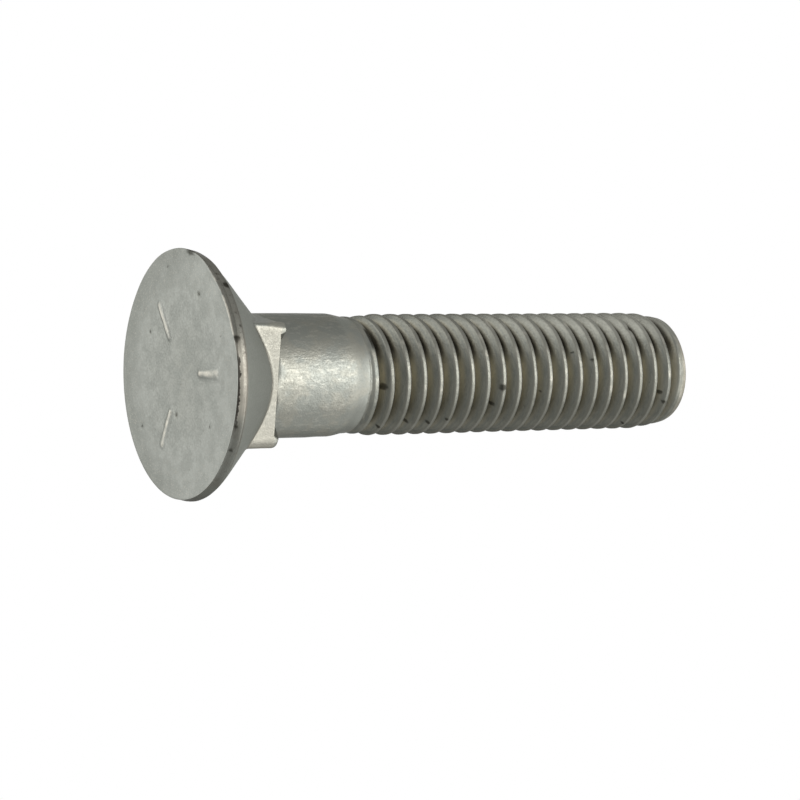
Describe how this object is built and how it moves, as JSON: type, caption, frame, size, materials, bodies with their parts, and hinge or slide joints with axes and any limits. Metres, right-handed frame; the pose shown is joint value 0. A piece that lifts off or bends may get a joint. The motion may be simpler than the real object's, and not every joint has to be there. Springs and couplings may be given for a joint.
{
  "type": "plow bolt",
  "caption": "Plow bolt of dull zinc-coated steel, with a flat round countersunk head, a short square neck, a plain shank and a rolled right-hand thread.",
  "frame": {"origin": "centre of the head's flat face", "axes": "+Z along the bolt's axis, from the head's face to the thread's end; the square neck's flats face +X, -X, +Y and -Y"},
  "size_m": [0.0254, 0.0254, 0.0597],
  "materials": {
    "zinc_coated_steel": "dull grey zinc coating on forged and rolled steel, lightly pitted, with brighter worn edges and dirt in the thread roots"
  },
  "bodies": {
    "root": {"plow_bolt": "zinc_coated_steel"}
  },
  "joints": []
}
